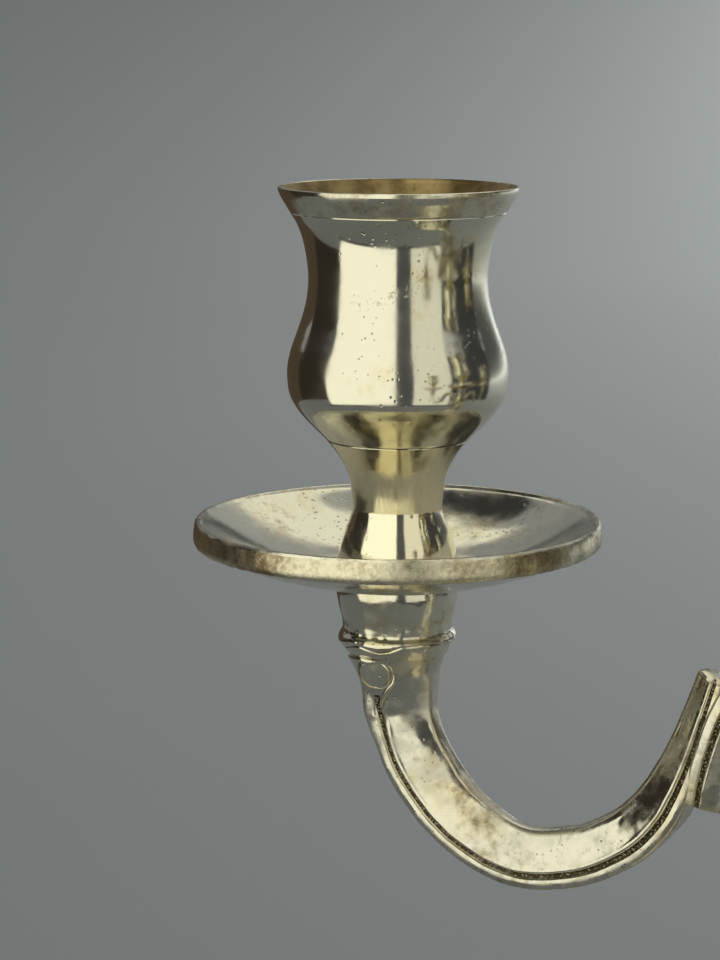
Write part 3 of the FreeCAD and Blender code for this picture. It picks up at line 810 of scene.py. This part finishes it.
def base_shell():
    """The hollow base: rim, sloping foot, step and dome, with its inside."""
    runs = closed(
        (((61.75, 1.5), (61.95, 1.7), RIM[0]), CAST),
        (RIM, POLISHED),
        ((RIM[-1], (60.3, 6.1), (59.9, 6.45), (59.2, 6.5)), POLISHED),
        (((59.2, 6.5), (58.8, 6.4), (58.6, 6.38), FOOT[0]), POLISHED),
        (FOOT, POLISHED),
        ((FOOT[-1], (34.2, 13.15), (34.05, 13.3), (34.0, 13.7)), POLISHED),
        (((34.0, 13.7), (33.98, 14.9), (33.8, 15.25), (33.4, 15.4)), POLISHED),
        (((33.4, 15.4), (32.4, 15.4), (32.1, 15.4), DOME[0]), POLISHED),
        (DOME, POLISHED),
        ((DOME[-1], (ROD_BORE, SHELL_TOP)), BRASS),
        (((ROD_BORE, SHELL_TOP), (ROD_BORE, SHELL_CROWN)), BRASS),
        (((ROD_BORE, SHELL_CROWN), (8.2, SHELL_CROWN)), LINING),
        (((8.2, SHELL_CROWN), (10.8, 26.6), (17.0, 20.2), (25.0, 16.2), (30.6, 12.0)), LINING),
        (((30.6, 12.0), (37.0, 10.6), (45.0, 9.4), (53.0, 7.6), (60.0, 4.0)), LINING),
        (((60.0, 4.0), (60.0, 1.5)), LINING),
    )
    stem_piece("base_silver", "base_shell", runs, FINE_ROUND)


def baluster():
    """The pear-shaped middle of the stem, bored for the tie rod."""
    runs = closed(
        (((ROD_BORE, BALUSTER_TOP), (ROD_BORE, BALUSTER_FOOT)), BRASS),
        (((ROD_BORE, BALUSTER_FOOT), (8.5, BALUSTER_FOOT), (8.6, 43.1), BALUSTER[0]), CAST),
        (BALUSTER, POLISHED),
        ((BALUSTER[-1], (7.9, 96.7), (8.0, 96.9), (7.9, BALUSTER_TOP)), POLISHED),
    )
    stem_piece("baluster_silver", "stem_baluster", runs)


base_shell()
bead_ring("lower_ring_silver", "stem_ring_lower", 12.0, RING_FOOT, BALUSTER_FOOT)
baluster()
bead_ring("upper_ring_silver", "stem_ring_upper", 10.6, BALUSTER_TOP, RING_TOP)


def centre_seat():
    """The seat of the centre light, the same as the sockets of the arms, bored for the tie rod."""
    pan = axis_of("drip_pan_4")
    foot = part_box("centre_socket")[0].z / MM - pan.z / MM
    runs = closed(
        (SEAT, CAST),
        (SOCKET, CAST),
        (NECK, CAST),
        (COLLAR, CAST),
        ((COLLAR[-1], (7.4, foot + 0.1), (7.1, foot)), CAST),
        (((7.1, foot), (ROD_BORE, foot)), BRASS),
        (((ROD_BORE, foot), (ROD_BORE, SEAT_TOP)), BRASS),
    )
    piece = turned("centre_socket_silver", runs, pan, pan.z)
    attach(piece, "stand")
    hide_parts("centre_socket")


centre_seat()


# CAD nodes that stay, with their materials

KEPT = {
    "hub": CAST,
    "tie_rod": STEEL,
    "rod_nut": STEEL,
    "rod_washer": STEEL,
    "base_plate": STEEL,
    "base_weight": IRON,
    "felt_pad": BAIZE,
    **{f"cup_stud_{arm}": STEEL for arm in ARMS},
    **{f"arm_screws_{arm}": STEEL for arm in ARMS},
    **{f"foot_washer_{light}": BRASS for light in LIGHTS},
}
for name, material in KEPT.items():
    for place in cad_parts[name].material_slots:
        place.material = material


# Camera, floor and light


def camera():
    """The photograph's view, set out from the first candle cup."""
    data = bpy.data.cameras.new("camera")
    data.lens = LENS
    data.sensor_width = SENSOR_WIDTH
    data.clip_start = 0.01
    data.clip_end = 200
    seat = bpy.data.objects.new("camera", data)
    bpy.context.scene.collection.objects.link(seat)
    away = RIGHT * CAMERA_RIGHT + UP * CAMERA_UP - AHEAD * CAMERA_BACK
    seat.location = axis_of("drip_pan_1") + away * MM
    seat.rotation_euler = (math.radians(90 + CAMERA_PITCH), 0, TURN)
    bpy.context.scene.camera = seat


# Metres, and degrees of the sweep's arc
FLOOR_RADIUS = 2.0
SWEEP_RADIUS = 3.0
SWEEP_END = 60


def floor():
    """A round pale floor that sweeps up at its edge, so that it has no horizon."""
    outline = [(0.0, 0.0), (0.3 * FLOOR_RADIUS, 0.0), (0.9 * FLOOR_RADIUS, 0.0), (FLOOR_RADIUS, 0.0)]
    for degrees in range(2, SWEEP_END + 1, 2):
        a = math.radians(degrees)
        outline.append((FLOOR_RADIUS + SWEEP_RADIUS * math.sin(a), SWEEP_RADIUS * (1 - math.cos(a))))
    columns = 96
    verts = [(0.0, 0.0, 0.0)]
    for r, z in outline[1:]:
        for c in range(columns):
            a = 2 * math.pi * c / columns
            verts.append((r * math.cos(a), r * math.sin(a), z))
    faces = [(0, 1 + c, 1 + (c + 1) % columns) for c in range(columns)]
    faces += [tuple(1 + i for i in reversed(face)) for face in grid(len(outline) - 1, columns)]
    t = Tree("pale_floor")
    colour = t.mix(t.between(t.noise(0.5, 3), 0.3, 0.7), rgb(0.33, 0.348, 0.346), rgb(0.345, 0.363, 0.361))
    t.set(t.shader.inputs["Base Color"], colour)
    t.shader.inputs["Roughness"].default_value = 0.8
    t.shader.inputs["Specular IOR Level"].default_value = 0.1
    mesh = bpy.data.meshes.new("floor")
    mesh.from_pydata(verts, [], faces)
    mesh.polygons.foreach_set("use_smooth", [True] * len(faces))
    mesh.materials.append(t.material)
    plane = bpy.data.objects.new("floor", mesh)
    bpy.context.scene.collection.objects.link(plane)


def glow(name, colour, strength):
    """A material that only gives light."""
    material = bpy.data.materials.new(name)
    material.use_nodes = True
    nodes = material.node_tree.nodes
    nodes.clear()
    light = nodes.new("ShaderNodeEmission")
    light.inputs["Color"].default_value = colour
    light.inputs["Strength"].default_value = strength
    out = nodes.new("ShaderNodeOutputMaterial")
    material.node_tree.links.new(light.outputs[0], out.inputs["Surface"])
    return material


def card(name, start, end, low, high, colour, strength, distance):
    """An upright curved card round the first light that only gloss sees.

    start and end are degrees from the camera's side to the right, low and high are heights in metres.
    """
    pan = axis_of("drip_pan_1")
    verts = []
    count = max(2, round((end - start) / 4))
    for k in range(count + 1):
        a = math.radians(CAMERA_AZIMUTH - 90 + start + (end - start) * k / count)
        for z in (low, high):
            verts.append((pan.x + distance * math.cos(a), pan.y + distance * math.sin(a), z))
    faces = [(2 * k, 2 * k + 2, 2 * k + 3, 2 * k + 1) for k in range(count)]
    mesh = bpy.data.meshes.new(name)
    mesh.from_pydata(verts, [], faces)
    mesh.materials.append(glow(name, colour, strength))
    piece = bpy.data.objects.new(name, mesh)
    bpy.context.scene.collection.objects.link(piece)
    piece.visible_camera = False
    piece.visible_diffuse = False
    piece.visible_shadow = False
    piece.visible_transmission = False


def sky():
    """Soft grey surroundings, brighter to the camera's right."""
    world = bpy.data.worlds.new("studio")
    bpy.context.scene.world = world
    world.use_nodes = True
    nodes, links = world.node_tree.nodes, world.node_tree.links
    place = nodes.new("ShaderNodeTexCoord")
    split = nodes.new("ShaderNodeVectorMath")
    split.operation = "DOT_PRODUCT"
    split.inputs[1].default_value = RIGHT
    links.new(place.outputs["Generated"], split.inputs[0])
    spread = nodes.new("ShaderNodeMapRange")
    for socket, value in (("From Min", -0.8), ("From Max", 0.8), ("To Min", 0.10), ("To Max", 0.52)):
        spread.inputs[socket].default_value = value
    links.new(split.outputs["Value"], spread.inputs["Value"])
    back = nodes["Background"]
    back.inputs["Color"].default_value = rgb(0.97, 1.0, 1.0)
    links.new(spread.outputs["Result"], back.inputs["Strength"])


def lamp(name, place, size, power):
    """A soft rectangular lamp that points down, with its long side along the view. Gloss doesn't see it."""
    data = bpy.data.lights.new(name, "AREA")
    data.shape = "RECTANGLE"
    data.size, data.size_y = size
    data.energy = power
    seat = bpy.data.objects.new(name, data)
    bpy.context.scene.collection.objects.link(seat)
    seat.location = place
    seat.rotation_euler = (0, 0, TURN)
    seat.visible_camera = False
    seat.visible_glossy = False


def sun(name, strength, softness):
    """A wide overhead light that gloss doesn't see."""
    data = bpy.data.lights.new(name, "SUN")
    data.energy = strength
    data.angle = math.radians(softness)
    seat = bpy.data.objects.new(name, data)
    bpy.context.scene.collection.objects.link(seat)
    seat.rotation_euler = (math.radians(18), math.radians(14), 0)
    seat.visible_glossy = False


DAYLIGHT = rgb(1.0, 1.0, 0.86)
SHADE = rgb(0.9, 0.95, 1.0)
WALL = rgb(0.95, 0.97, 1.0)
NEAR, FAR, BEYOND = 0.285, 0.45, 1.0  # distances from the first light, in metres
SILL = 0.022  # height of the window's lower edge
WINDOW_TOP = 1.3

# What the plate reflects: name, start and end in degrees, low and high edge, colour, strength and distance
CARDS = (
    ("pane_left", -78, -3, SILL, WINDOW_TOP, DAYLIGHT, 1.2, NEAR),
    ("pane_right", 15, 54, SILL, WINDOW_TOP, DAYLIGHT, 0.82, NEAR),
    ("mullion", -3, 15, SILL, 0.62, SHADE, 0.09, NEAR),
    ("mullion_top", -3, 15, 0.62, WINDOW_TOP, DAYLIGHT, 0.9, NEAR),
    ("window_frame", -82, 58, 0.003, SILL, SHADE, 0.06, NEAR),
    ("dark_right", 54, 107, 0.004, 0.4, SHADE, 0.05, FAR),
    ("dark_left", -124, -78, 0.004, 0.36, rgb(1.0, 0.85, 0.7), 0.03, FAR),
    ("brown_left", -172, -124, 0.004, 0.26, rgb(1.0, 0.75, 0.5), 0.07, FAR),
    ("ceiling_right", 140, 196, 0.84, 1.9, DAYLIGHT, 0.95, BEYOND),
    ("ceiling_left", 196, 250, 1.1, 3.2, WALL, 0.04, BEYOND),
    ("wall_left", 196, 250, 0.3, 1.1, WALL, 0.3, BEYOND),
)

camera()
floor()
sky()
for row in CARDS:
    card(*row)
lamp("right_strip", RIGHT * 1.2 + AHEAD * 2.1 + UP * 0.9, (0.4, 3.6), 49)
sun("overhead", 0.12, 25)
bpy.context.scene.view_settings.view_transform = "Standard"
